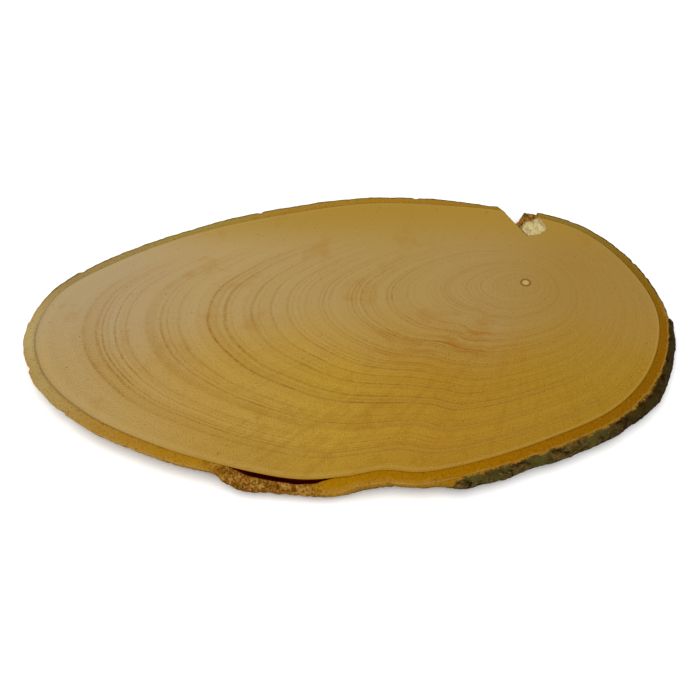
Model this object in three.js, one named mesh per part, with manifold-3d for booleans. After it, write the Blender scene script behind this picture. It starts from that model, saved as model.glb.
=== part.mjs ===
// A slice of a log, cut clean across at a slant: a flat oval of wood with its bark still on the edge.
// The wood and its bark grew as one, so the slice is one closed solid.
// Units are millimetres, +Z is up, and the slice lies on its sawn underside at z = 0.
import * as THREE from 'three';
import { mergeVertices } from 'three/addons/utils/BufferGeometryUtils.js';
import Module from 'manifold-3d';

const MERGE_DISTANCE = 1e-4;          // corners closer than this are one corner

// ---- driving dimensions ----
const THICKNESS = 10;                 // between the two sawn faces
const LEAN_X = 5;                     // the log leaned: how far the underside sits beyond the top face
const LEAN_Y = 4.8;
const STEPS_PER_SPAN = 6;             // sections between two neighbouring outline points

// Edge of the wood on the top face, clockwise from the blunt end, seen from above.
const WOOD_OUTLINE = [
  [139, 5], [131, -25.5], [112, -49.5], [78.5, -68], [44.5, -80.5], [25.5, -84.4],
  [10.5, -83.3], [-5.5, -86.5], [-24.5, -87.7], [-54.5, -81], [-86.5, -69.5], [-116.5, -53],
  [-137.5, -32], [-146, -7], [-139, 18.5], [-112.5, 41.5], [-76.5, 61], [-36.5, 74],
  [7.5, 82.5], [49.5, 80.5], [83.5, 74.5], [111.5, 61.5], [130.5, 36],
];

// The bark: a soft inner layer, with a rough dark crust outside it.
const BARK_MEAN = 5.3;                // width of the inner bark where it meets the top face
const BARK_SWING = 0.8;               // how much wider it is on its thick side
const BARK_THICK_SIDE = 140;          // degrees, the direction of that side
const BARK_CHANGES = [                // local changes: direction, spread in degrees, height
  [-158, 20, 1.2], [-129, 4, -0.8], [-120, 5, 2.2], [-80, 12, 1.7], [0, 8, -0.9], [28, 10, -0.4],
  [48, 10, -1.4], [145, 14, -0.9],
];
const RIM_DROP = 1.9;                 // how far the outer rim of the bark lies below the top face
const RIM_TILT = 0.4;                 // more at the front, less at the back
const CRUST_THIN = 0.6;               // crust over most of the edge
const CRUST_FULL = 4.6;               // crust where the full bark is left on
const CRUST_WORN = 2;                 // the same crust, worn down towards the blunt end
const CRUST_CHANGES = [               // local changes, as for the bark
  [28, 20, -1.6],
];
const CRUST_RIPPLES = [               // share of the crust's width, waves in a turn, phase in degrees
  [0.08, 17, 0], [0.06, 29, -120],
];
const CRUST_SHOULDER = 1.1;           // the crust starts this far below the rim
const BELLY = 0.4;                    // the crust swells by this much half way down
const FOOT = 0.8;                     // broken edge of the bark on the underside

// The seam between wood and bark, and the stretch where the bark has sprung away from the wood.
const SEAM_WIDTH = 0.25;
const SEAM_DEPTH = 0.4;
const SEAM_STEP = 0.2;                // the bark's inner edge lies this far below the wood
const GAP_WIDTH = 2;                  // added to the seam in the middle of the sprung stretch
const GAP_DEPTH = 5.5;
const GAP_STEP = 2.2;
const LOOSE_RIM_DROP = 2.6;           // the sprung bark hangs this much lower at its rim
const LOOSE_THICKER = 1.9;

// Stretches of the edge: where each starts and ends, and how softly it does so at either end.
// All are degrees about the middle of the slice, anticlockwise from +X.
const LOOSE = [-125.2, -94, 1, 7];    // the sprung bark
const GAP = [-120.5, -100.5, 6, 12];  // the open gap behind it
const FULL_BARK = [-68.5, 1.6, 8, 0.6];
const WORN = [-25, 0];                // the full crust thins out over this stretch

// The chip broken out of the far edge: a slit right through, and a slope of torn wood beside it.
const CHIP_TIP = [84.4, 58.1];        // innermost point, on the top face
const CHIP_SIDE = [[91, 59.5], [95.1, 63.2], [93.8, 67.2], [91.8, 71.4]];
const CHIP_REACH = 93;                // well outside the bark
const CHIP_SLIT_START = [79.4, 67.6]; // where the slit begins, on the straight side
const CHIP_SLIT_LEFT = 66.6;          // the two sides of the slit at CHIP_REACH
const CHIP_SLIT_RIGHT = 92.4;
const CHIP_STEP = 0.4;                // depth of the broken surface at the tip
const CHIP_SLOPE = 0.12;              // fall of the torn wood towards the edge

const degrees = (x, y) => THREE.MathUtils.radToDeg(Math.atan2(y, x));

// 1 between two directions and 0 outside them; each change is centred on its direction.
function between(angle, from, to, softFrom, softTo) {
  const rise = THREE.MathUtils.smoothstep(angle, from - softFrom / 2, from + softFrom / 2);
  const fall = THREE.MathUtils.smoothstep(angle, to - softTo / 2, to + softTo / 2);
  return rise - fall;
}

// The sum of smooth local changes, each [direction, spread, height].
function changeAt(angle, changes) {
  return changes.reduce((sum, [at, spread, height]) => (
    sum + height * Math.exp(-(((angle - at) / spread) ** 2))), 0);
}

// Everything about the edge that changes from one direction to the next.
function edgeShape(angle) {
  const radians = THREE.MathUtils.degToRad;
  const loose = between(angle, ...LOOSE);
  const gap = between(angle, ...GAP);
  const full = between(angle, ...FULL_BARK);
  const worn = THREE.MathUtils.smoothstep(angle, ...WORN);
  const thick = THREE.MathUtils.lerp(CRUST_FULL, CRUST_WORN, worn);
  const thin = CRUST_THIN + changeAt(angle, CRUST_CHANGES);
  const ripple = CRUST_RIPPLES.reduce((sum, [share, waves, phase]) => (
    sum + share * Math.sin(radians(angle * waves + phase))), 1);
  const thickSide = Math.cos(radians(angle - BARK_THICK_SIDE));
  return {
    bark: BARK_MEAN + BARK_SWING * thickSide + changeAt(angle, BARK_CHANGES) + LOOSE_THICKER * loose,
    crust: THREE.MathUtils.lerp(thin, thick * ripple, full),
    rimDrop: RIM_DROP - RIM_TILT * Math.sin(radians(angle)) + LOOSE_RIM_DROP * loose,
    seam: SEAM_WIDTH + GAP_WIDTH * gap,
    seamDepth: SEAM_DEPTH + GAP_DEPTH * gap,
    seamStep: SEAM_STEP + GAP_STEP * gap,
  };
}

// The rings of one section, from the top face to the underside: distance outside the wood, and height.
function sectionRings(shape) {
  const crustEdge = shape.bark + shape.crust;
  const shoulder = THICKNESS - shape.rimDrop - CRUST_SHOULDER;
  return [
    [0, THICKNESS],
    [0, THICKNESS - shape.seamDepth],
    [shape.seam, THICKNESS - shape.seamDepth],
    [shape.seam, THICKNESS - shape.seamStep],
    [shape.bark, THICKNESS - shape.rimDrop],
    [crustEdge, shoulder],
    [crustEdge + BELLY, (shoulder + FOOT) / 2],
    [crustEdge, FOOT],
    [crustEdge - FOOT, 0],
  ];
}

// Sweeps the section round the outline and closes it with the two sawn faces.
function sliceGeometry() {
  const points = WOOD_OUTLINE.map(([x, y]) => new THREE.Vector3(x, y, 0));
  const outline = new THREE.CatmullRomCurve3(points, true, 'centripetal');
  const count = WOOD_OUTLINE.length * STEPS_PER_SPAN;
  const positions = [];
  const lean = (z) => (THICKNESS - z) / THICKNESS;
  for (let i = 0; i < count; i += 1) {
    const at = outline.getPoint(i / count);
    const along = outline.getTangent(i / count);
    const outward = new THREE.Vector3(-along.y, along.x, 0);
    for (const [out, z] of sectionRings(edgeShape(degrees(at.x, at.y)))) {
      positions.push(
        at.x + outward.x * out + LEAN_X * lean(z),
        at.y + outward.y * out + LEAN_Y * lean(z),
        z,
      );
    }
  }
  const rings = positions.length / 3 / count;
  const topCentre = count * rings;
  const bottomCentre = topCentre + 1;
  positions.push(0, 0, THICKNESS, LEAN_X, LEAN_Y, 0);

  const faces = [];
  for (let i = 0; i < count; i += 1) {
    const here = i * rings;
    const next = ((i + 1) % count) * rings;
    faces.push(topCentre, next, here);
    for (let r = 0; r < rings - 1; r += 1) {
      faces.push(here + r, next + r, next + r + 1);
      faces.push(here + r, next + r + 1, here + r + 1);
    }
    faces.push(bottomCentre, here + rings - 1, next + rings - 1);
  }
  const geometry = new THREE.BufferGeometry();
  geometry.setAttribute('position', new THREE.Float32BufferAttribute(positions, 3));
  geometry.setIndex(faces);
  return geometry;
}

// A solid that stands on a closed plan, with its underside at the height that `floor` gives.
function prismGeometry(plan, floor) {
  const shape = new THREE.Shape(plan.map(([x, y]) => new THREE.Vector2(x, y)));
  const depth = 2 * THICKNESS;
  const geometry = new THREE.ExtrudeGeometry(shape, { depth, bevelEnabled: false });
  const position = geometry.attributes.position;
  for (let i = 0; i < position.count; i += 1) {
    if (position.getZ(i) < depth / 2) {
      position.setZ(i, floor(position.getY(i)));
    }
  }
  return geometry;
}

// The torn slope falls away from the tip towards the far edge.
function chipSlopeGeometry() {
  const tipY = CHIP_TIP[1];
  const [sideX] = CHIP_SIDE.at(-1);
  const plan = [CHIP_TIP, ...CHIP_SIDE, [sideX, CHIP_REACH], [CHIP_SLIT_LEFT, CHIP_REACH]];
  return prismGeometry(plan, (y) => THICKNESS - CHIP_STEP - CHIP_SLOPE * (y - tipY));
}

// The slit is open from face to face.
function chipSlitGeometry() {
  const plan = [CHIP_SLIT_START, [CHIP_SLIT_RIGHT, CHIP_REACH], [CHIP_SLIT_LEFT, CHIP_REACH]];
  return prismGeometry(plan, () => -THICKNESS);
}

const wasm = await Module();
wasm.setup();

function toSolid(geometry) {
  const bare = geometry.clone();
  bare.deleteAttribute('normal');
  bare.deleteAttribute('uv');
  const merged = mergeVertices(bare, MERGE_DISTANCE);
  const mesh = new wasm.Mesh({
    numProp: 3,
    vertProperties: new Float32Array(merged.attributes.position.array),
    triVerts: new Uint32Array(merged.index.array),
  });
  return new wasm.Manifold(mesh);
}

function toGeometry(solid) {
  const mesh = solid.getMesh();
  const geometry = new THREE.BufferGeometry();
  geometry.setAttribute('position', new THREE.BufferAttribute(mesh.vertProperties, 3));
  geometry.setIndex(new THREE.BufferAttribute(mesh.triVerts, 1));
  geometry.computeVertexNormals();
  return geometry;
}

const whole = toSolid(sliceGeometry());
const chipped = whole.subtract(toSolid(chipSlopeGeometry())).subtract(toSolid(chipSlitGeometry()));

const wood = new THREE.MeshStandardMaterial({ color: 0xb08f48, roughness: 0.6, metalness: 0 });
const slice = new THREE.Mesh(toGeometry(chipped), wood);
slice.name = 'wood_slice';

// The origin is under the middle of the slice.
const middle = new THREE.Box3().setFromObject(slice).getCenter(new THREE.Vector3());
slice.position.set(-middle.x, -middle.y, 0);

const group = new THREE.Group();
group.add(slice);
export default group;
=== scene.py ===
"""The looks of a slanted slice of a log with its bark on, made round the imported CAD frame.

Lengths named here are millimetres of the slice as drawn, and UNIT turns them into the frame's metres.
Directions are in degrees about the middle of the drawing, anticlockwise from +X.
"""

import math

import bpy
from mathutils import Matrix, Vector, noise


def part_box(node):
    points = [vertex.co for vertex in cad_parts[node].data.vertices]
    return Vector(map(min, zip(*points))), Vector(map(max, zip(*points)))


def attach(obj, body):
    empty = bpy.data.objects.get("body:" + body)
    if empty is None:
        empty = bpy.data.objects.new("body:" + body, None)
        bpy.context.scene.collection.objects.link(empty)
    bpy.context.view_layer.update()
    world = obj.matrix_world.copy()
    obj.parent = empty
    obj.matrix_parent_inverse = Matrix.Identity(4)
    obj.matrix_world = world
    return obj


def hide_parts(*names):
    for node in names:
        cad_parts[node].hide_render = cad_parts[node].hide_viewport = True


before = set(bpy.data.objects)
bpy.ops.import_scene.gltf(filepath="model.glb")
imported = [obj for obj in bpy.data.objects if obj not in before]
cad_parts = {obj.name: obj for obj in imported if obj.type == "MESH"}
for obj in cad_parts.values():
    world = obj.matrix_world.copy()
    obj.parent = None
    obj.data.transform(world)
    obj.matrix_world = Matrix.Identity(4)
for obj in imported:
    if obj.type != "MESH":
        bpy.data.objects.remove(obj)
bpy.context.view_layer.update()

# ---------------------------------------------------------------- the slice as drawn
THICKNESS = 10
LEAN = (5, 4.8)                        # how far the underside sits beyond the top face
PITH = (80.3, 25.5)                    # where the tree's first year shows on the top face

LOW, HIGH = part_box("wood_slice")
UNIT = (HIGH.z - LOW.z) / THICKNESS

# Edge of the wood on the top face, clockwise from the blunt end, seen from above.
WOOD_OUTLINE = [
    (139, 5), (131, -25.5), (112, -49.5), (78.5, -68), (44.5, -80.5), (25.5, -84.4),
    (10.5, -83.3), (-5.5, -86.5), (-24.5, -87.7), (-54.5, -81), (-86.5, -69.5), (-116.5, -53),
    (-137.5, -32), (-146, -7), (-139, 18.5), (-112.5, 41.5), (-76.5, 61), (-36.5, 74),
    (7.5, 82.5), (49.5, 80.5), (83.5, 74.5), (111.5, 61.5), (130.5, 36),
]

# The bark: a soft inner layer, with a rough dark crust outside it.
BARK_MEAN, BARK_SWING, BARK_THICK_SIDE = 5.3, 0.8, 140
BARK_CHANGES = [                       # local changes: direction, spread in degrees, height
    (-158, 20, 1.2), (-129, 4, -0.8), (-120, 5, 2.2), (-80, 12, 1.7), (0, 8, -0.9), (28, 10, -0.4),
    (48, 10, -1.4), (145, 14, -0.9),
]
RIM_DROP, RIM_TILT = 1.9, 0.4          # how far the bark's rim lies below the top face
CRUST_THIN, CRUST_FULL, CRUST_WORN = 0.6, 4.6, 2.0
CRUST_CHANGES = [(28, 20, -1.6)]
CRUST_RIPPLES = [(0.08, 17, 0), (0.06, 29, -120)]    # share of the width, waves in a turn, phase
CRUST_SHOULDER = 1.1                   # the crust starts this far below the rim
BELLY, FOOT = 0.4, 0.8                 # its swelling half way down, and its broken lower edge

# The seam between wood and bark, and the stretch where the bark has sprung away from the wood.
SEAM_WIDTH, SEAM_DEPTH, SEAM_STEP = 0.25, 0.4, 0.2
GAP_WIDTH, GAP_DEPTH, GAP_STEP = 2, 5.5, 2.2
LOOSE_RIM_DROP, LOOSE_THICKER = 2.6, 1.9

# Stretches of the edge: where each starts and ends, and how softly it does so at either end.
LOOSE = (-125.2, -94, 1, 7)            # the sprung bark
TORN = (-127.2, -102, 8, 8)            # its torn surface
GAP = (-120.5, -100.5, 6, 12)          # the open gap behind it
FULL_BARK = (-68.5, 1.6, 8, 0.6)       # the bark with its full crust
WORN = (-25, 0)                        # the full crust thins out over this stretch

# The chip broken out of the far edge: a slope of torn wood, and a slit right through beside it.
CHIP_PLAN = [
    (84.4, 58.1), (91, 59.5), (95.1, 63.2), (93.8, 67.2), (91.8, 71.4), (91.8, 93), (66.6, 93),
]
SLIT_PLAN = [(79.4, 67.6), (92.4, 93), (66.6, 93)]
CHIP_STEP, CHIP_SLOPE = 0.4, 0.12
CHIP_SQUARE = (0.89, 0.454)            # direction square to the chip's straight side

# Mesh columns between two outline points.
CAD_COLUMNS, WOOD_COLUMNS, BARK_COLUMNS = 6, 24, 48


# ---------------------------------------------------------------- small sums
def lerp(a, b, t):
    return a + (b - a) * t


def smoothstep(value, low, high):
    t = min(max((value - low) / (high - low), 0.0), 1.0)
    return t * t * (3 - 2 * t)


def between(angle, start, end, soft_start, soft_end):
    """1 between two directions and 0 outside them; each change is centred on its direction."""
    rise = smoothstep(angle, start - soft_start / 2, start + soft_start / 2)
    return rise - smoothstep(angle, end - soft_end / 2, end + soft_end / 2)


def rough(x, y, z, size, seed=0.0):
    """Smooth noise from -1 to 1 whose lumps are about `size` millimetres."""
    return noise.noise(Vector((x / size + seed, y / size - seed, z / size + 2 * seed)))


def walk_outline(columns):
    """(x, y, outward x, outward y) at even steps of each span of the centripetal spline."""
    points = [Vector(p) for p in WOOD_OUTLINE]
    count = len(points)
    stations = []
    for i in range(count):
        before, start, end, after = (points[(i + k) % count] for k in (-1, 0, 1, 2))
        gap_a, gap_b, gap_c = (
            math.sqrt((q - p).length) for p, q in ((before, start), (start, end), (end, after))
        )
        leave = (start - before) / gap_a - (end - before) / (gap_a + gap_b) + (end - start) / gap_b
        arrive = (end - start) / gap_b - (after - start) / (gap_b + gap_c) + (after - end) / gap_c
        leave, arrive = leave * gap_b, arrive * gap_b
        for k in range(columns):
            t = k / columns
            at = (
                start * (2 * t ** 3 - 3 * t ** 2 + 1) + leave * (t ** 3 - 2 * t ** 2 + t)
                + end * (3 * t ** 2 - 2 * t ** 3) + arrive * (t ** 3 - t ** 2)
            )
            along = (
                (start - end) * (6 * t ** 2 - 6 * t) + leave * (3 * t ** 2 - 4 * t + 1)
                + arrive * (3 * t ** 2 - 2 * t)
            ).normalized()
            stations.append((at.x, at.y, -along.y, along.x))
    return stations


def change_at(angle, changes):
    """The sum of smooth local changes, each (direction, spread, height)."""
    return sum(height * math.exp(-(((angle - at) / spread) ** 2)) for at, spread, height in changes)


def edge_shape(x, y):
    """Everything about the edge that changes from one direction to the next."""
    angle = math.degrees(math.atan2(y, x))
    loose = between(angle, *LOOSE)
    gap = between(angle, *GAP)
    full = between(angle, *FULL_BARK)
    thick = lerp(CRUST_FULL, CRUST_WORN, smoothstep(angle, *WORN))
    ripple = 1 + sum(
        share * math.sin(math.radians(angle * waves + phase)) for share, waves, phase in CRUST_RIPPLES
    )
    thin = CRUST_THIN + change_at(angle, CRUST_CHANGES)
    swing = BARK_SWING * math.cos(math.radians(angle - BARK_THICK_SIDE))
    return {
        "loose": loose,
        "torn": between(angle, *TORN),
        "full": full,
        "bark": BARK_MEAN + swing + change_at(angle, BARK_CHANGES) + LOOSE_THICKER * loose,
        "crust": lerp(thin, thick * ripple, full),
        "rim_drop": RIM_DROP - RIM_TILT * math.sin(math.radians(angle)) + LOOSE_RIM_DROP * loose,
        "seam": SEAM_WIDTH + GAP_WIDTH * gap,
        "seam_depth": SEAM_DEPTH + GAP_DEPTH * gap,
        "seam_step": SEAM_STEP + GAP_STEP * gap,
    }


def leaned(x, y, z):
    """A point of the upright section, shifted as the log leans."""
    share = (THICKNESS - z) / THICKNESS
    return x + LEAN[0] * share, y + LEAN[1] * share, z


def drawn_middle():
    """Middle of the drawing's own box, which the frame's middle stands for."""
    xs, ys = [], []
    for x, y, nx, ny in walk_outline(CAD_COLUMNS):
        shape = edge_shape(x, y)
        crust = shape["bark"] + shape["crust"]
        rim = THICKNESS - shape["rim_drop"]
        belly_height = (rim - CRUST_SHOULDER + FOOT) / 2
        widest = (
            (shape["bark"], rim), (crust + BELLY, belly_height), (crust, FOOT), (crust - FOOT, 0),
        )
        for out, z in widest:
            px, py, _ = leaned(x + nx * out, y + ny * out, z)
            xs.append(px)
            ys.append(py)
    return (min(xs) + max(xs)) / 2, (min(ys) + max(ys)) / 2


MIDDLE = drawn_middle()
FRAME_MIDDLE = (LOW + HIGH) / 2


def place(x, y, z):
    """A drawn point in the frame, in metres."""
    return Vector((
        FRAME_MIDDLE.x + (x - MIDDLE[0]) * UNIT,
        FRAME_MIDDLE.y + (y - MIDDLE[1]) * UNIT,
        LOW.z + z * UNIT,
    ))


# ---------------------------------------------------------------- meshes
def new_piece(name, points, faces, attributes, material, smooth=True):
    """A mesh object from drawn points, with one value of each attribute per point."""
    mesh = bpy.data.meshes.new(name)
    mesh.from_pydata([place(*p) for p in points], [], faces)
    mesh.polygons.foreach_set("use_smooth", [smooth] * len(mesh.polygons))
    for key, values in attributes.items():
        layer = mesh.attributes.new(key, "FLOAT", "POINT")
        layer.data.foreach_set("value", values)
    mesh.materials.append(material)
    piece = bpy.data.objects.new(name, mesh)
    bpy.context.scene.collection.objects.link(piece)
    return piece


def gather(columns, index):
    """One value of every point of every column, in the order of the mesh's points."""
    return [point[index] for column in columns for point in column]


RING_ROWS, UNDER_ROWS = 64, 16         # mesh rows from the pith to the bark, on top and underneath
RING_CROWDING = 1.25                   # over 1, the rows on top stand closer towards the bark
SIDE_HEIGHTS = (9, 8, 7, 6, 5, 4, 3, 2, 1)
EDGE_FALL, WORN_EDGE_FALL = 0.06, 0.15   # how far the wood's top edge is eased down
EDGE_EASE, WORN_EDGE_EASE = 0.9, 4.0     # how far in from the edge that starts
EDGE_ROUND = 0.1                       # radius of the edge itself
SIDE_WOBBLE = 0.12                     # unevenness of the wood's side
WORN_FROM, WORN_TO = 60, 140           # the edge wears smooth over this distance to the left
ROUND_YEARS, ROUND_RADIUS = 0.8, 105   # the first years are rounder than the outline
FLUTE_START, FLUTE_END = -146, -124    # the fold in the rings, seen from the pith, inside and at the bark
FLUTE_SPREAD, FLUTE_DEPTH = 8, 0.075   # in degrees, and as a share of the distance from the pith


def ring_radius(ring, reach, ray):
    """Distance from the pith of a ring that is a given share of the way out to the bark."""
    roundness = ROUND_YEARS * (1 - ring)
    radius = ring * lerp(reach, ROUND_RADIUS * reach / (reach + ROUND_RADIUS) * 2, roundness)
    turn = math.degrees(math.atan2(ray[1], ray[0])) - lerp(FLUTE_START, FLUTE_END, ring)
    fold = FLUTE_DEPTH * 4 * ring * (1 - ring) * math.exp(-((turn / FLUTE_SPREAD) ** 2))
    return radius * (1 - fold)


def worn_end(x):
    """1 at the narrow left end, where the edge is rubbed smooth, and 0 over the rest."""
    return smoothstep(-x, WORN_FROM, WORN_TO)


def wood_rows(station):
    """Points from the pith's row outwards, down the side and back under to the middle.

    Each is x, y, height, share of the way out from the pith, and width of the gap beside it.
    """
    x, y, nx, ny = station
    gap = edge_shape(x, y)["seam"] - SEAM_WIDTH
    rows = []
    reach = math.hypot(x - PITH[0], y - PITH[1])
    ray = ((x - PITH[0]) / reach, (y - PITH[1]) / reach)
    worn = worn_end(x)
    ease = lerp(EDGE_EASE, WORN_EDGE_EASE, worn)
    drop = lerp(EDGE_FALL, WORN_EDGE_FALL, worn)
    squareness = ray[0] * nx + ray[1] * ny
    for k in range(1, RING_ROWS + 1):
        ring = 1 - (1 - k / RING_ROWS) ** RING_CROWDING
        radius = ring_radius(ring, reach, ray)
        inset = (reach - radius) * squareness
        fall = drop * (1 - smoothstep(inset, 0, ease))
        px, py = PITH[0] + ray[0] * radius, PITH[1] + ray[1] * radius
        rows.append((px, py, THICKNESS - fall, ring, 0.0))
    for turn in (30, 60, 90):
        out = EDGE_ROUND * math.sin(math.radians(turn))
        z = THICKNESS - drop - EDGE_ROUND * (1 - math.cos(math.radians(turn)))
        px, py, _ = leaned(x + nx * out, y + ny * out, z)
        rows.append((px, py, z, 1.0, gap))
    for z in (*SIDE_HEIGHTS, EDGE_ROUND):
        wobble = EDGE_ROUND + SIDE_WOBBLE * rough(x, y, z * 0.6, 2.5, 3)
        px, py, _ = leaned(x + nx * wobble, y + ny * wobble, z)
        rows.append((px, py, z, 1.0, gap))
    foot = (PITH[0] + LEAN[0], PITH[1] + LEAN[1])
    for k in range(UNDER_ROWS, 0, -1):
        ring = k / UNDER_ROWS
        radius = ring_radius(ring, reach, ray)
        rows.append((foot[0] + ray[0] * radius, foot[1] + ray[1] * radius, 0.0, ring, 0.0))
    return rows


def make_wood(material):
    """The sawn wood: both faces and the side, with the share of the way out at each point."""
    columns = [wood_rows(station) for station in walk_outline(WOOD_COLUMNS)]
    rows = len(columns[0])
    count = len(columns)
    points = gather(columns, slice(3))
    rings = gather(columns, 3)
    gaps = gather(columns, 4)
    top, bottom = len(points), len(points) + 1
    points += [(*PITH, THICKNESS), leaned(*PITH, 0)]
    rings += [0.0, 0.0]
    gaps += [0.0, 0.0]
    faces = []
    for i in range(count):
        here, there = i * rows, (i + 1) % count * rows
        faces.append((top, there, here))
        for r in range(rows - 1):
            faces.append((here + r, there + r, there + r + 1, here + r + 1))
        faces.append((bottom, here + rows - 1, there + rows - 1))
    return new_piece("wood", points, faces, {"ring": rings, "gap": gaps}, material)


TUCK = 0.15                            # the bark reaches this far into the wood below the seam
UNDERSIDE_RISE = 0.12                  # the bark's underside stays this much clear of the floor
RIM_BEVEL = 0.3                        # width of the rounding at the rim
RIM_RISE, RIM_FALL = 0.12, 0.25        # height that the rounding has inside and outside the rim

# Unevenness of the bark's edges: millimetres either way, size of the lumps, noise seed.
RIM_LUMPS, RIM_GRAIN, TORN_LUMPS = (0.4, 7, 5), (0.25, 2.2, 6), (0.7, 2.6, 16)
SEAM_LUMPS, SEAM_GAPS, HEIGHT_LUMPS = (0.1, 3, 2), (0.9, 5, 8), (0.2, 9, 7)
SEAM_TIGHTER, WORN_SEAM_TIGHTER = 0.1, 0.12   # taken off the seam's width, and more at the left end
WORN_SEAM_SHALLOWER = 0.14             # taken off its depth there
NICK_SIZE, NICK_START, NICK_DEPTH = 4.5, 0.35, 2.0   # small nicks out of the rim
NICK_EASED, NICK_DROP = 0.7, 0.3       # shallower in the full bark; how far a nick lowers the rim

# Relief of the bark: fibres on the cut face, splinters on the torn one, plates and cracks outside.
FIBRE_LIFT, TORN_LIFT, SPLINTER_LIFT = 0.12, 0.9, 0.5
CRUST_INSET = 0.6                      # the crust's mean lies this far in, so its ridges reach the outline
PLATE_DEPTH, CRACK_DEPTH, CRACK_WIDTH, GRAIN_DEPTH = 0.4, 3.2, 0.16, 0.14
BACK_CRAGGY, WORN_CRAGGY = 0.75, 0.4   # how craggy the thin crust is at the back and in front
CRUST_SHIFT = 0.3                      # how far the plates' edges wander up and down
CUT_FACE_END, CRUST_END = 1.2, 2.8     # places across the bark where each kind of relief stops


def bark_corners(shape):
    """The bark's section: out from the wood, height, place across the bark, roughness, rows.

    The place across the bark is 0 at the seam, 1 at the rim, 2 at the belly and 3 underneath.
    """
    seam_floor = THICKNESS - shape["seam_depth"]
    inner = THICKNESS - shape["seam_step"]
    rim = THICKNESS - shape["rim_drop"]
    shoulder = rim - CRUST_SHOULDER
    crust = shape["bark"] + shape["crust"]
    return [
        (-TUCK, UNDERSIDE_RISE, 3.0, 0.0, 3),
        (-TUCK, seam_floor, 0.0, 0.0, 1),
        (shape["seam"], seam_floor, 0.0, 0.3, 4),
        (shape["seam"], inner, 0.0, 0.35, 12),
        (shape["bark"] - RIM_BEVEL, rim + RIM_RISE, 0.95, 0.5, 3),
        (shape["bark"], rim - RIM_FALL, 1.05, 0.7, 6),
        (crust, shoulder, 1.4, 1.0, 8),
        (crust + BELLY, (shoulder + FOOT) / 2, 2.0, 1.0, 8),
        (crust, FOOT, 2.6, 1.0, 3),
        (crust - FOOT, UNDERSIDE_RISE, 2.9, 0.4, 4),
    ]


def lumps(x, y, kind):
    """Unevenness at one place on the edge, from (height, size, seed)."""
    height, size, seed = kind
    return height * rough(x, y, 0, size, seed)


def uneven_shape(x, y):
    """The edge's shape with its small nicks and lumps."""
    shape = edge_shape(x, y)
    nick = max(0.0, rough(x, y, 0, NICK_SIZE, 9) - NICK_START) * NICK_DEPTH
    nick *= 1 - NICK_EASED * shape["full"]
    shape["bark"] += lumps(x, y, RIM_LUMPS) + lumps(x, y, RIM_GRAIN) - nick
    shape["bark"] += shape["torn"] * lumps(x, y, TORN_LUMPS)
    height, size, seed = SEAM_GAPS
    shape["seam"] += height * shape["loose"] * rough(x, y, 0, size, seed) ** 2
    shape["seam"] += lumps(x, y, SEAM_LUMPS) - SEAM_TIGHTER - WORN_SEAM_TIGHTER * worn_end(x)
    shape["seam_depth"] -= WORN_SEAM_SHALLOWER * worn_end(x)
    shape["rim_drop"] += lumps(x, y, HEIGHT_LUMPS) + nick * NICK_DROP
    return shape


def bark_column(station, along):
    """One section of bark, with its chips, ridges and fibres."""
    x, y, _, _ = station
    shape = uneven_shape(x, y)
    gap = edge_shape(x, y)["seam"] - SEAM_WIDTH
    corners = bark_corners(shape)
    column = []
    for (out, z, across, grit, steps), (out_b, z_b, across_b, grit_b, _) in zip(
        corners, corners[1:] + corners[:1]
    ):
        for k in range(steps):
            t = k / steps
            place_across = lerp(across, across_b, t) if across_b > across else across
            spot = (lerp(out, out_b, t), lerp(z, z_b, t), place_across, lerp(grit, grit_b, t))
            point = bark_point(station, along, shape, spot)
            column.append((*point, shape["torn"], shape["full"], gap))
    return column


def bark_point(station, along, shape, spot):
    """Roughens one point of the section: fibres on the cut face, plates and cracks on the crust."""
    x, y, nx, ny = station
    out, z, across, grit = spot
    lift = FIBRE_LIFT * rough(x + nx * out, y + ny * out, z, 1.1, 1)
    lift += shape["torn"] * TORN_LIFT * rough(along / 2.4, across * 4, 0, 1, 15)
    lift += shape["torn"] * SPLINTER_LIFT * rough(along / 0.9, across * 3 + along / 4, 0, 1, 18)
    lift *= grit * (across < CUT_FACE_END)
    if across >= 1.0:
        out -= CRUST_INSET * grit
    if 1.0 <= across < CRUST_END:
        plates = rough(along / 6.5 + z / 9, z / 11, 0, 1, 4)
        cracks = max(0.0, CRACK_WIDTH - abs(rough(along / 3.1 + z / 5, z / 9, 3, 1, 11)))
        grain = rough(x, y, z, 0.9, 12)
        depth = PLATE_DEPTH * plates - CRACK_DEPTH * cracks + GRAIN_DEPTH * grain
        craggy = max(shape["full"], BACK_CRAGGY * smoothstep(y, 0, 30), WORN_CRAGGY)
        out += depth * grit * craggy
        z += CRUST_SHIFT * rough(along, 5 * z, 2, 2.6, 13) * grit * (z > 1)
    px, py, _ = leaned(x + nx * out, y + ny * out, z)
    return px, py, max(z + lift, UNDERSIDE_RISE), across


def make_bark(material):
    """The bark: a closed ring of sections round the wood."""
    stations = walk_outline(BARK_COLUMNS)
    columns = []
    along = 0.0
    for i, station in enumerate(stations):
        columns.append(bark_column(station, along))
        following = stations[(i + 1) % len(stations)]
        along += math.hypot(following[0] - station[0], following[1] - station[1])
    rows = len(columns[0])
    count = len(columns)
    points = gather(columns, slice(3))
    names = ("across", "torn", "full", "gap")
    attributes = {name: gather(columns, 3 + i) for i, name in enumerate(names)}
    faces = []
    for i in range(count):
        here, there = i * rows, (i + 1) % count * rows
        for r in range(rows):
            s = (r + 1) % rows
            faces.append((here + r, there + r, there + s, here + s))
    return new_piece("bark", points, faces, attributes, material)


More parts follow.
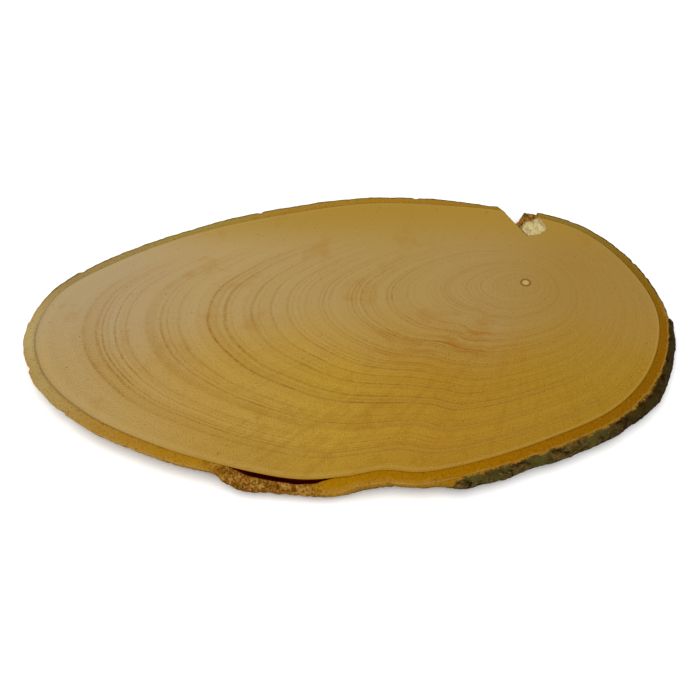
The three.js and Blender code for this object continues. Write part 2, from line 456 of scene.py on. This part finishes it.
# ---------------------------------------------------------------- the chip
def outside(plan, x, y):
    """Signed distance from a closed plan: below 0 inside it."""
    point = Vector((x, y))
    nearest, inside = 1e9, False
    for i, a in enumerate(plan):
        b = plan[(i + 1) % len(plan)]
        start, edge = Vector(a), Vector(b) - Vector(a)
        t = min(max((point - start).dot(edge) / edge.length_squared, 0.0), 1.0)
        nearest = min(nearest, (point - start - edge * t).length)
        if (a[1] > y) != (b[1] > y) and x < (b[0] - a[0]) * (y - a[1]) / (b[1] - a[1]) + a[0]:
            inside = not inside
    return -nearest if inside else nearest


BLOCK = (4.2, 5.0)                     # the broken wood parts into blocks of about this size
BLOCK_STEP, BLOCK_TILT, BLOCK_RISE = 1.4, 2.4, 0.8   # how unlike each other their tops are
BREAK_BLUR = 0.2                       # half the width over which the broken surface meets the rest
BREAK_EASE = 2                         # the blocks flatten out this close to the chip's edge
BREAK_LUMPS = (0.35, 2, 23)            # unevenness of the chip's edge
CUTTER_STEP = 0.32                     # mesh size of the broken surface
CUTTER_X, CUTTER_Y = (64, 98), (56, 95)   # where it starts and ends each way
CUTTER_PAST, CUTTER_TOP = 1.5, 4       # how far it runs past the faces, and where its lid is


def block_top(x, y):
    """Height of the broken surface over its mean: one tilted flat for each block of wood."""
    nearest, height = 1e9, 0.0
    column, row = math.floor(x / BLOCK[0]), math.floor(y / BLOCK[1])
    for i in (column - 1, column, column + 1):
        for j in (row - 1, row, row + 1):
            chance = noise.cell_vector(Vector((i + 0.5, j + 0.5, 0.5)))
            side, ahead = x / BLOCK[0] - i - chance.x, y / BLOCK[1] - j - chance.y
            distance = side * side + ahead * ahead
            if distance < nearest:
                nearest = distance
                height = BLOCK_STEP * (chance.z - 0.5)
                height += BLOCK_TILT * (chance.x - 0.5) * side + BLOCK_RISE * ahead
    return height


def chip_floor(x, y):
    """Height of what is left under the chip; above the slice where nothing broke away."""
    above, below = THICKNESS + CUTTER_PAST, -CUTTER_PAST
    from_chip, from_slit = outside(CHIP_PLAN, x, y), outside(SLIT_PLAN, x, y)
    slope = THICKNESS - CHIP_STEP - CHIP_SLOPE * (y - CHIP_PLAN[0][1])
    torn = slope + block_top(x, y) * smoothstep(-from_chip, 0, BREAK_EASE)
    ragged = lumps(x, y, BREAK_LUMPS)
    height = lerp(torn, above, smoothstep(from_chip + ragged, -BREAK_BLUR, BREAK_BLUR))
    return lerp(below, height, smoothstep(from_slit + ragged * 0.4, -BREAK_BLUR, BREAK_BLUR))


def make_chip_cutter(material):
    """A block whose rough underside is the broken surface; what it overlaps is cut away."""
    columns = int((CUTTER_X[1] - CUTTER_X[0]) / CUTTER_STEP) + 1
    rows = int((CUTTER_Y[1] - CUTTER_Y[0]) / CUTTER_STEP) + 1
    points, lids = [], []
    for i in range(columns):
        for j in range(rows):
            x, y = CUTTER_X[0] + i * CUTTER_STEP, CUTTER_Y[0] + j * CUTTER_STEP
            points.append((x, y, chip_floor(x, y)))
            lids.append((x, y, THICKNESS + CUTTER_TOP))
    first_lid = len(points)
    points += lids
    faces = []
    for i in range(columns - 1):
        for j in range(rows - 1):
            a, b = i * rows + j, (i + 1) * rows + j
            c, d = b + 1, a + 1
            faces.append((a, d, c, b))
            faces.append((a + first_lid, b + first_lid, c + first_lid, d + first_lid))
    rim = [i * rows for i in range(columns)]
    rim += [(columns - 1) * rows + j for j in range(1, rows)]
    rim += [i * rows + rows - 1 for i in range(columns - 2, -1, -1)]
    rim += [j for j in range(rows - 2, 0, -1)]
    for a, b in zip(rim, rim[1:] + rim[:1]):
        faces.append((a, b, b + first_lid, a + first_lid))
    return new_piece("chip_cutter", points, faces, {}, material, smooth=False)


def cut_away(piece, cutter):
    """Takes the cutter's volume out of a piece; the fresh surface keeps the cutter's material."""
    cut = piece.modifiers.new("chip", "BOOLEAN")
    cut.operation = "DIFFERENCE"
    cut.object = cutter
    cut.solver = "EXACT"
    cut.material_mode = "TRANSFER"
    bpy.context.view_layer.update()
    depsgraph = bpy.context.evaluated_depsgraph_get()
    mesh = bpy.data.meshes.new_from_object(piece.evaluated_get(depsgraph))
    piece.modifiers.clear()
    piece.data = mesh


# ---------------------------------------------------------------- node materials
class Nodes:
    """A material's node tree, built by short calls that return output sockets."""

    def __init__(self, name, gloss):
        self.material = bpy.data.materials.new(name)
        self.material.use_nodes = True
        self.tree = self.material.node_tree
        self.shader = self.tree.nodes["Principled BSDF"]
        self.shader.inputs["Specular IOR Level"].default_value = gloss

    def add(self, kind, inputs=(), **settings):
        node = self.tree.nodes.new(kind)
        for key, value in settings.items():
            setattr(node, key, value)
        for key, value in dict(inputs).items():
            if isinstance(value, bpy.types.NodeSocket):
                self.tree.links.new(value, node.inputs[key])
            else:
                node.inputs[key].default_value = value
        return node

    def position(self):
        """Where the surface is, in drawn millimetres."""
        at = self.add("ShaderNodeTexCoord").outputs["Object"]
        offset = (MIDDLE[0] - FRAME_MIDDLE.x / UNIT, MIDDLE[1] - FRAME_MIDDLE.y / UNIT, -LOW.z / UNIT)
        inputs = {0: at, 1: (1 / UNIT, 1 / UNIT, 1 / UNIT), 2: offset}
        return self.add("ShaderNodeVectorMath", inputs, operation="MULTIPLY_ADD").outputs[0]

    def attribute(self, name):
        return self.add("ShaderNodeAttribute", attribute_name=name).outputs["Fac"]

    def axes(self, vector):
        return self.add("ShaderNodeSeparateXYZ", {0: vector}).outputs

    def stretch(self, vector, scale):
        return self.add("ShaderNodeVectorMath", {0: vector, 1: scale}, operation="MULTIPLY").outputs[0]

    def noise(self, vector, size, detail=3.0, roughness=0.5):
        """Fractal noise whose largest lumps are about `size` millimetres, centred on 0.5."""
        inputs = {"Vector": vector, "Scale": 1 / size, "Detail": detail, "Roughness": roughness}
        return self.add("ShaderNodeTexNoise", inputs).outputs["Fac"]

    def line_noise(self, value, scale, detail=2.0):
        """Noise along one number."""
        inputs = {"W": value, "Scale": scale, "Detail": detail}
        return self.add("ShaderNodeTexNoise", inputs, noise_dimensions="1D").outputs["Fac"]

    def math(self, operation, a, b=0.0):
        return self.add("ShaderNodeMath", {0: a, 1: b}, operation=operation).outputs[0]

    def sum(self, first, *others):
        for other in others:
            first = self.math("ADD", first, other)
        return first

    def product(self, first, *others):
        for other in others:
            first = self.math("MULTIPLY", first, other)
        return first

    def minus(self, a, b):
        return self.math("SUBTRACT", a, b)

    def swing(self, vector, size, height, detail=3.0):
        """Noise that swings by half of `height` either way of 0."""
        return self.product(self.minus(self.noise(vector, size, detail), 0.5), height)

    def shift(self, vector, by):
        return self.add("ShaderNodeVectorMath", {0: vector, 1: by}, operation="ADD").outputs[0]

    def fit(self, value, low, high, to_low=0.0, to_high=1.0, straight=False):
        """Maps low..high on to to_low..to_high, easing at both ends unless it is straight."""
        inputs = {"Value": value, 1: low, 2: high, 3: to_low, 4: to_high}
        kind = "LINEAR" if straight else "SMOOTHSTEP"
        return self.add("ShaderNodeMapRange", inputs, interpolation_type=kind).outputs[0]

    def ramp(self, value, stops):
        """A colour or grey ramp from (place, value) stops."""
        node = self.add("ShaderNodeValToRGB", {"Fac": value})
        elements = node.color_ramp.elements
        while len(elements) < len(stops):
            elements.new(1.0)
        for element, (place_at, shade) in zip(elements, stops):
            element.position = place_at
            element.color = shade if isinstance(shade, tuple) else (shade, shade, shade, 1)
        return node.outputs["Color"]

    def mix(self, factor, a, b):
        """Colour a where the factor is 0 and b where it is 1."""
        node = self.add("ShaderNodeMix", data_type="RGBA")
        for socket, value in ((node.inputs[0], factor), (node.inputs[6], a), (node.inputs[7], b)):
            if isinstance(value, bpy.types.NodeSocket):
                self.tree.links.new(value, socket)
            else:
                socket.default_value = value
        return node.outputs[2]

    def finish(self, colour, roughness, height, depth):
        """Links colour, roughness and a bump whose relief is `depth` millimetres."""
        self.tree.links.new(colour, self.shader.inputs["Base Color"])
        self.tree.links.new(roughness, self.shader.inputs["Roughness"])
        bump = self.add("ShaderNodeBump", {"Height": height, "Distance": depth * UNIT})
        self.tree.links.new(bump.outputs[0], self.shader.inputs["Normal"])
        return self.material


LIGHT_GAIN = 1.4                       # how much brighter than its own colour the light shows a surface


def rgb(red, green, blue):
    """A colour given as the finished picture shows it, 0 to 255, as the linear values that nodes take."""
    def linear(channel):
        c = channel / 255
        return (c / 12.92 if c <= 0.04045 else ((c + 0.055) / 1.055) ** 2.4) / LIGHT_GAIN
    return (linear(red), linear(green), linear(blue), 1.0)


# Which years grew dark: share of the way out, and how dark their lines are.
DARK_YEARS = [
    (0.0, 0.25), (0.084, 0.8), (0.1, 0.3), (0.124, 0.9), (0.15, 0.35), (0.179, 1.0), (0.195, 0.4),
    (0.216, 1.0), (0.25, 0.35), (0.3, 0.3), (0.346, 0.9), (0.37, 0.3), (0.412, 0.9), (0.444, 0.65),
    (0.465, 0.2), (0.489, 1.0), (0.515, 0.2), (0.554, 1.0), (0.58, 0.3), (0.608, 0.7), (0.644, 0.6),
    (0.665, 0.2), (0.684, 0.7), (0.716, 1.0), (0.75, 0.15), (0.813, 0.9), (0.84, 0.15), (0.882, 0.75),
    (0.924, 0.85), (0.942, 0.1), (1.0, 0.05),
]
YEARS, YEARS_UNEVEN = 76, 2.6          # how many, and how much wide and narrow years shift the count
RING_WANDER, RING_RIPPLE = 0.012, 0.0025   # how far a ring strays, as a share of the way out
# How dark one year's wood is from spring to autumn.
ONE_YEAR = [(0.0, 0.4), (0.12, 0.0), (0.45, 0.05), (0.82, 1.0), (0.96, 0.8), (1.0, 0.4)]


def growth_rings(nodes, position, ring):
    """(dark latewood lines, soft light and dark years), each 0 to 1."""
    wander = nodes.swing(position, 30, RING_WANDER, 2)
    ripple = nodes.swing(position, 7, RING_RIPPLE, 2)
    shifted = nodes.sum(ring, wander, ripple)
    uneven = nodes.product(nodes.line_noise(shifted, 17), YEARS_UNEVEN)
    age = nodes.sum(nodes.product(shifted, YEARS), uneven)
    line = nodes.ramp(nodes.math("FRACT", age), ONE_YEAR)
    dark = nodes.ramp(shifted, DARK_YEARS)
    strength = nodes.product(
        nodes.fit(nodes.line_noise(age, 0.55, 1), 0.35, 0.65, 0.25, 1.0),
        nodes.fit(nodes.noise(position, 28, 2), 0.35, 0.6, 0.5, 1.0),
        nodes.fit(nodes.noise(position, 1.8, 2), 0.35, 0.6, 0.45, 1.0),
    )
    lines = nodes.product(line, dark, strength)
    bands = nodes.product(dark, nodes.fit(nodes.line_noise(shifted, 30, 2), 0.3, 0.6))
    return lines, bands


HALF_LENGTH = 150


def along_slice(nodes, axes, stops):
    """A colour that changes from the left end of the slice to the right, from (x, colour) stops."""
    share = nodes.fit(axes[0], -HALF_LENGTH, HALF_LENGTH, straight=True)
    return nodes.ramp(share, [((x / HALF_LENGTH + 1) / 2, colour) for x, colour in stops])


def wood_colour(nodes, position, axes):
    """The wide drift of colour over the sawn face: pale and cool at the left, golden at the front; the
    paler left end and the darker right are partly the wood's own colour and partly painted light and glare
    from the upper left.
    """
    # partly painted light: paler and cooler at the left end and darker at the right, as light from the
    # upper left shows them
    back = along_slice(nodes, axes, [
        (-115, rgb(176, 153, 112)), (-65, rgb(180, 152, 98)), (20, rgb(173, 143, 81)),
        (60, rgb(169, 138, 80)), (100, rgb(161, 127, 58)),
    ])
    front = along_slice(nodes, axes, [
        (-120, rgb(178, 149, 94)), (-65, rgb(183, 147, 68)), (-10, rgb(184, 145, 44)),
        (35, rgb(173, 129, 30)), (100, rgb(166, 128, 28)),
    ])
    drifting = nodes.sum(axes[1], nodes.product(nodes.noise(position, 40, 3), 40))
    colour = nodes.mix(nodes.fit(drifting, 34, -14), back, front)
    colour = nodes.mix(nodes.fit(axes[1], 42, 76, 0.0, 0.9), colour, rgb(167, 131, 42))
    blotch = nodes.fit(nodes.noise(position, 18, 4, 0.6), 0.54, 0.72, 0.0, 0.3)
    return nodes.mix(blotch, colour, rgb(162, 110, 12))


def round_pith(nodes, ring, axes, across, around):
    """Coordinates that follow the rings: the share of the way out, and the turn about the pith."""
    east, north = nodes.minus(axes[0], PITH[0]), nodes.minus(axes[1], PITH[1])
    turn = nodes.math("ARCTAN2", north, east)
    inputs = {"X": nodes.product(ring, across), "Y": nodes.product(turn, around)}
    return nodes.add("ShaderNodeCombineXYZ", inputs).outputs[0]


def pith_distance(nodes, axes):
    """Distance from the pith, which leans with the log from one face to the other."""
    away = []
    for at, lean, axis in zip(PITH, LEAN, axes):
        pith_here = nodes.fit(axes[2], 0, THICKNESS, at + lean, at, straight=True)
        away.append(nodes.minus(axis, pith_here))
    away = nodes.add("ShaderNodeCombineXYZ", {"X": away[0], "Y": away[1]}).outputs[0]
    return nodes.add("ShaderNodeVectorMath", {0: away}, operation="LENGTH").outputs["Value"]


def front_streaks(nodes, ring, axes, position):
    """Short streaks and spots of deeper colour over the front, running out from the pith."""
    rays = nodes.noise(round_pith(nodes, ring, axes, 9, 80), 3, 3, 0.6)
    spots = nodes.noise(position, 4, 3, 0.6)
    both = nodes.sum(nodes.product(rays, 0.6), nodes.product(spots, 0.4))
    front = nodes.product(nodes.fit(axes[1], 5, -45), nodes.fit(axes[0], -95, -30, 0.0, 0.3))
    return nodes.product(nodes.fit(both, 0.48, 0.6), front)


STAIN_AT = (40, -14)                   # middle of the orange stain


def stain(nodes, ring, axes):
    """Orange streaks that follow the rings, on the near side of the pith."""
    streaks = nodes.noise(round_pith(nodes, ring, axes, 110, 6), 3, 4, 0.65)
    east = nodes.fit(nodes.math("ABSOLUTE", nodes.minus(axes[0], STAIN_AT[0])), 48, 8)
    north = nodes.fit(nodes.math("ABSOLUTE", nodes.minus(axes[1], STAIN_AT[1])), 20, 3)
    return nodes.product(nodes.fit(streaks, 0.48, 0.66), east, north)


def bark_tint(nodes, position, axes):
    """Colour of the cut inner bark: red-brown at the right, golden in front, pale at the left end."""
    wander = nodes.product(nodes.noise(position, 30, 2), 50)
    tint = along_slice(nodes, nodes.axes(nodes.shift(position, wander)), [
        (-125, rgb(184, 162, 108)), (-105, rgb(172, 144, 84)), (-80, rgb(165, 121, 38)),
        (-50, rgb(165, 118, 22)), (0, rgb(164, 114, 6)), (50, rgb(157, 107, 0)),
        (110, rgb(145, 95, 0)), (150, rgb(136, 90, 0)),
    ])
    far = along_slice(nodes, axes, [
        (-130, rgb(158, 132, 80)), (-75, rgb(158, 135, 58)), (-36, rgb(166, 126, 44)),
        (10, rgb(166, 124, 28)), (50, rgb(163, 119, 32)), (85, rgb(150, 113, 32)),
        (112, rgb(144, 116, 44)), (132, rgb(132, 98, 14)),
    ])
    return nodes.mix(nodes.fit(axes[1], 0, 30), tint, far)


def ring_fade(nodes, axes):
    """The rings show in the middle and the front, and fade towards the far edge and the right."""
    slanting = nodes.minus(axes[1], nodes.product(nodes.sum(axes[0], 50), 0.36))
    return nodes.product(
        nodes.fit(axes[1], 62, 38, 0.12, 1.0),
        nodes.fit(slanting, 62, 40, 0.15, 1.0),
        nodes.fit(axes[1], 20, -40, 0.9, 1.6),
        nodes.fit(axes[0], 130, 60, 0.85, 1.0),
    )


def add_figure(nodes, colour, position, axes, ring, lines, bands):
    """Stains, streaks and the darker years over the plain wood."""
    colour = nodes.mix(nodes.product(stain(nodes, ring, axes), 0.8), colour, rgb(158, 98, 2))
    colour = nodes.mix(front_streaks(nodes, ring, axes, position), colour, rgb(152, 102, 6))
    near_bark = nodes.product(
        nodes.fit(ring, 0.88, 0.97, 0.0, 0.3), nodes.fit(axes[1], 0, -50), nodes.fit(axes[0], -110, -40)
    )
    colour = nodes.mix(near_bark, colour, rgb(148, 104, 8))
    clear = ring_fade(nodes, axes)
    colour = nodes.mix(nodes.product(bands, clear, 0.22), colour, rgb(158, 118, 36))
    return nodes.mix(nodes.product(lines, clear, 0.72), colour, rgb(142, 94, 14))


def add_pores(nodes, colour, position, axes, pores):
    """Open pores of the end grain, plainer towards the front, and a few dark specks."""
    open_grain = nodes.fit(axes[1], 60, -50, 0.55, 1.5)
    dark = nodes.product(nodes.fit(pores, 0.5, 0.75, 0.0, 0.45), open_grain)
    light = nodes.product(nodes.fit(pores, 0.46, 0.28, 0.0, 0.22), open_grain)
    colour = nodes.mix(dark, colour, rgb(134, 90, 12))
    colour = nodes.mix(light, colour, rgb(202, 168, 92))
    speck = nodes.fit(nodes.noise(position, 1.3, 1), 0.74, 0.79, 0.0, 0.55)
    return nodes.mix(speck, colour, rgb(96, 62, 6))


def add_pith(nodes, colour, axes):
    """The pith: a dark ring round a pale middle."""
    away = pith_distance(nodes, axes)
    dark_ring = nodes.product(nodes.fit(away, 1.3, 1.9, 0.0, 0.75), nodes.fit(away, 3.1, 2.3))
    colour = nodes.mix(nodes.fit(away, 1.8, 1.2), colour, rgb(190, 162, 98))
    return nodes.mix(dark_ring, colour, rgb(122, 82, 18))


def add_last_year_and_edge_light(nodes, colour, axes, ring):
    """The last year is a little paler, partly its own colour and partly a painted highlight along the
    eased edge, with a painted shade line against the bark.
    """
    # pale last year: partly the growth ring's own colour, partly a painted highlight on the wood's eased
    # edge
    last = nodes.ramp(ring, [(0.0, 0.0), (0.978, 0.0), (0.988, 0.18), (0.995, 0.0), (1.0, 0.0)])
    colour = nodes.mix(last, colour, rgb(196, 168, 104))
    # painted shade: a darker line along the wood's edge against the bark, fading out towards the left end
    stain_and_shade = nodes.product(nodes.fit(ring, 0.991, 0.999, 0.0, 0.3), nodes.fit(axes[0], -110, -20))
    return nodes.mix(stain_and_shade, colour, rgb(146, 108, 30))


LAST_RING = 0.9995                     # beyond this share of the way out, the wood is its own side


def add_side(nodes, colour, position, axes, ring):
    """The side under the bark, which is maroon down in the open gap."""
    side = nodes.product(nodes.fit(axes[2], 0.0, 0.4), nodes.math("GREATER_THAN", ring, LAST_RING))
    colour = nodes.mix(side, colour, bark_tint(nodes, position, axes))
    deep = nodes.fit(axes[2], THICKNESS - 0.2, THICKNESS - 0.8)
    in_gap = nodes.product(deep, nodes.fit(nodes.attribute("gap"), 0.1, 0.6), side)
    maroon = nodes.mix(nodes.fit(axes[2], 9, 5), rgb(84, 14, 2), rgb(150, 32, 6))
    return nodes.mix(in_gap, colour, maroon)


def wood_material():
    """Pale end grain with growth rings, sawn on top and underneath."""
    nodes = Nodes("wood_face", gloss=0.06)
    position = nodes.position()
    axes = nodes.axes(position)
    ring = nodes.attribute("ring")
    lines, bands = growth_rings(nodes, position, ring)
    pores = nodes.noise(nodes.stretch(position, (1, 1, 0.3)), 0.6, 2, 0.6)
    colour = wood_colour(nodes, position, axes)
    colour = add_figure(nodes, colour, position, axes, ring, lines, bands)
    colour = add_pores(nodes, colour, position, axes, pores)
    colour = add_pith(nodes, colour, axes)
    colour = add_last_year_and_edge_light(nodes, colour, axes, ring)
    colour = add_side(nodes, colour, position, axes, ring)
    # band-saw marks across the underside
    saw = nodes.minus(nodes.noise(nodes.stretch(position, (1, 0.03, 1)), 1.6, 3), 0.5)
    saw = nodes.product(saw, nodes.fit(axes[2], 0.3, 0.0, 0.0, 2.5))
    relief = nodes.sum(nodes.product(pores, 0.5), nodes.product(lines, -0.6), saw)
    roughness = nodes.fit(nodes.noise(position, 3, 3), 0.3, 0.7, 0.46, 0.62)
    return nodes.finish(colour, roughness, relief, 0.06)


def cut_bark_colour(nodes, position, axes, ragged, fibre, bare):
    """The cut inner bark: a little darker beside the wood, and brown on its worn outside."""
    colour = bark_tint(nodes, position, axes)
    colour = nodes.mix(nodes.fit(ragged, 0.3, 0.0, 0.0, 0.12), colour, rgb(112, 68, 0))
    # paler at the rim as a painted highlight, and paler over more of the bark where it has lost its crust
    rim = nodes.product(nodes.fit(ragged, 0.82, 0.96), nodes.fit(ragged, 1.2, 1.0, 0.0, 0.4))
    colour = nodes.mix(rim, colour, rgb(190, 154, 80))
    faded = nodes.product(bare, nodes.fit(ragged, 0.4, 0.9, 0.0, 0.3))
    colour = nodes.mix(faded, colour, rgb(172, 136, 64))
    colour = nodes.mix(nodes.fit(ragged, 1.1, 2.6, 0.0, 0.75), colour, rgb(96, 70, 22))
    # a dark line along the far rim
    far = nodes.product(nodes.fit(axes[1], 5, 25), nodes.fit(axes[0], 20, 100, 0.75, 1.0))
    far_rim = nodes.product(nodes.fit(ragged, 0.68, 0.9, 0.0, 0.95), far)
    colour = nodes.mix(far_rim, colour, rgb(74, 58, 20))
    colour = nodes.mix(nodes.fit(fibre, 0.5, 0.72, 0.0, 0.6), colour, rgb(98, 60, 4))
    return nodes.mix(nodes.fit(fibre, 0.45, 0.25, 0.0, 0.35), colour, rgb(192, 152, 66))


def sprung_bark_colour(nodes, position, fibre):
    """The torn face of the bark that has sprung away: fibrous rust, tan and olive."""
    patch = nodes.noise(nodes.stretch(position, (0.6, 1, 1)), 4, 3)
    colour = nodes.mix(nodes.fit(patch, 0.35, 0.58), rgb(162, 118, 44), rgb(126, 76, 10))
    colour = nodes.mix(nodes.fit(patch, 0.56, 0.68, 0.0, 0.8), colour, rgb(106, 90, 20))
    colour = nodes.mix(nodes.fit(fibre, 0.5, 0.62, 0.0, 0.8), colour, rgb(66, 32, 2))
    return nodes.mix(nodes.fit(fibre, 0.46, 0.3, 0.0, 0.7), colour, rgb(206, 172, 104))


def crust_colour(nodes, position, axes):
    """The weathered outside of the bark: near black, with grey-green lichen and paler specks."""
    grain = nodes.noise(nodes.stretch(position, (1, 1, 0.6)), 3.4, 5, 0.72)
    colour = nodes.ramp(grain, [
        (0.0, rgb(6, 4, 0)), (0.4, rgb(26, 17, 3)), (0.48, rgb(66, 52, 20)),
        (0.66, rgb(106, 84, 40)), (1.0, rgb(152, 126, 76)),
    ])
    lichen = nodes.fit(nodes.noise(position, 8, 3), 0.48, 0.62, 0.0, 0.65)
    colour = nodes.mix(lichen, colour, rgb(84, 80, 34))
    speck = nodes.fit(nodes.noise(position, 1.5, 2), 0.62, 0.7, 0.0, 0.6)
    colour = nodes.mix(speck, colour, rgb(134, 100, 50))
    return nodes.mix(nodes.fit(axes[0], 90, 125, 0.0, 0.7), colour, rgb(34, 19, 0))


def bark_material():
    """The cut inner bark, the torn and the crusted outside, and the inner bark again underneath."""
    nodes = Nodes("bark", gloss=0.02)
    position = nodes.position()
    axes = nodes.axes(position)
    across = nodes.attribute("across")
    bare = nodes.minus(1.0, nodes.attribute("full"))
    fibre = nodes.noise(nodes.stretch(position, (1, 1, 0.5)), 0.9, 4, 0.65)
    flakes = nodes.minus(nodes.noise(position, 3, 2), 0.5)
    ragged = nodes.sum(across, nodes.product(nodes.minus(fibre, 0.5), 0.16), nodes.product(flakes, 0.3))
    colour = cut_bark_colour(nodes, position, axes, ragged, fibre, bare)
    colour = nodes.mix(nodes.attribute("torn"), colour, sprung_bark_colour(nodes, position, fibre))
    in_gap = nodes.product(nodes.fit(nodes.attribute("gap"), 0.1, 0.6), nodes.fit(across, 0.06, 0.0))
    colour = nodes.mix(in_gap, colour, rgb(110, 24, 4))
    # the crust reaches up to the rim on the far side and where the full bark is left
    border = nodes.fit(nodes.sum(axes[1], nodes.product(flakes, 60)), 26, 6, 0.1, 1.5)
    crusted = nodes.fit(nodes.minus(ragged, nodes.product(bare, border)), 1.05, 1.18)
    streaks = nodes.noise(nodes.stretch(position, (1, 1, 0.12)), 2.6, 3, 0.6)
    thin = nodes.product(bare, nodes.fit(streaks, 0.35, 0.6, 0.05, 0.6))
    crust = nodes.mix(thin, crust_colour(nodes, position, axes), rgb(126, 96, 50))
    colour = nodes.mix(crusted, colour, crust)
    # the underside is sawn too, so it shows the inner bark again
    colour = nodes.mix(nodes.fit(across, 2.92, 2.94), colour, bark_tint(nodes, position, axes))
    roughness = nodes.fit(fibre, 0.3, 0.7, 0.68, 0.92)
    return nodes.finish(colour, roughness, fibre, 0.3)


def torn_material():
    """Freshly broken wood: cream blocks, rust stains and dark brown towards the slit, with painted shade
    along the straight side.
    """
    nodes = Nodes("torn_wood", gloss=0.1)
    position = nodes.position()
    axes = nodes.axes(position)
    fibre = nodes.noise(nodes.stretch(position, (1.6, 0.5, 0.6)), 1.6, 4, 0.6)
    colour = nodes.mix(nodes.fit(fibre, 0.35, 0.7), rgb(212, 196, 142), rgb(188, 164, 102))
    slanting = nodes.minus(axes[1], nodes.product(axes[0], 0.85))
    toward_slit = nodes.sum(slanting, nodes.swing(position, 3, 7))
    stain_and_shade = nodes.mix(nodes.fit(fibre, 0.42, 0.6), rgb(166, 112, 34), rgb(84, 62, 14))
    colour = nodes.mix(nodes.fit(toward_slit, -5.5, -3.0), colour, stain_and_shade)
    # painted shade: a dark line along the straight side, on and beside the broken wall there, measured
    # square to it from the innermost point
    east = nodes.product(nodes.minus(axes[0], CHIP_PLAN[0][0]), CHIP_SQUARE[0])
    north = nodes.product(nodes.minus(axes[1], CHIP_PLAN[0][1]), CHIP_SQUARE[1])
    colour = nodes.mix(nodes.fit(nodes.sum(east, north), 1.6, 0.8), colour, rgb(84, 58, 12))
    return nodes.finish(colour, nodes.fit(fibre, 0.3, 0.7, 0.6, 0.85), fibre, 0.2)


# ---------------------------------------------------------------- stage
AIM = (-3.8, -16.2)                    # drawn point of the top face that the camera looks at
CAMERA_DISTANCE, CAMERA_ELEVATION, CAMERA_LENS = 508, 48, 58.55


FLOOR_HALF = 4.0                       # metres


def floor_material():
    material = bpy.data.materials.new("floor")
    material.use_nodes = True
    shader = material.node_tree.nodes["Principled BSDF"]
    shader.inputs["Base Color"].default_value = (0.97, 0.97, 0.97, 1)
    shader.inputs["Roughness"].default_value = 0.9
    return material


def make_floor():
    turns = ((-1, -1), (1, -1), (1, 1), (-1, 1))
    corners = [(east * FLOOR_HALF, north * FLOOR_HALF, 0) for east, north in turns]
    mesh = bpy.data.meshes.new("floor")
    mesh.from_pydata(corners, [], [(0, 1, 2, 3)])
    mesh.materials.append(floor_material())
    floor = bpy.data.objects.new("floor", mesh)
    floor.location.z = LOW.z
    bpy.context.scene.collection.objects.link(floor)


def make_camera():
    aim = place(*AIM, THICKNESS)
    elevation = math.radians(CAMERA_ELEVATION)
    back = Vector((0, -math.cos(elevation), math.sin(elevation)))
    data = bpy.data.cameras.new("camera")
    data.lens = CAMERA_LENS
    camera = bpy.data.objects.new("camera", data)
    camera.location = aim + back * CAMERA_DISTANCE * UNIT
    camera.rotation_euler = (math.pi / 2 - elevation, 0, 0)
    bpy.context.scene.collection.objects.link(camera)
    bpy.context.scene.camera = camera


def make_light(name, place_at, size, power, colour):
    """A round soft light that points at the middle of the floor; metres and watts."""
    data = bpy.data.lights.new(name, "AREA")
    data.shape = "DISK"
    data.size = size
    data.energy = power
    data.color = colour
    lamp = bpy.data.objects.new(name, data)
    lamp.location = place_at
    lamp.rotation_euler = (-Vector(place_at)).to_track_quat("-Z", "Y").to_euler()
    bpy.context.scene.collection.objects.link(lamp)


def make_lights():
    make_light("key", place_at=(-0.7, -0.1, 1.6), size=1.5, power=10.5, colour=(1.0, 0.98, 0.95))
    make_light("fill", place_at=(0.5, -1.5, 0.9), size=1.6, power=9, colour=(1.0, 1.0, 1.0))
    world = bpy.data.worlds.new("studio")
    world.use_nodes = True
    backdrop = world.node_tree.nodes["Background"]
    backdrop.inputs["Color"].default_value = (1, 1, 1, 1)
    backdrop.inputs["Strength"].default_value = 1.0
    bpy.context.scene.world = world


# ---------------------------------------------------------------- the scene
def make_slice():
    wood = make_wood(wood_material())
    bark = make_bark(bark_material())
    cutter = make_chip_cutter(torn_material())
    for piece, slot in ((wood, "wood"), (bark, "bark")):
        cut_away(piece, cutter)
        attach(piece, "root")
        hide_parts("wood_slice")
    bpy.data.objects.remove(cutter)


bpy.context.scene.view_settings.view_transform = "Standard"
make_slice()
make_floor()
make_camera()
make_lights()
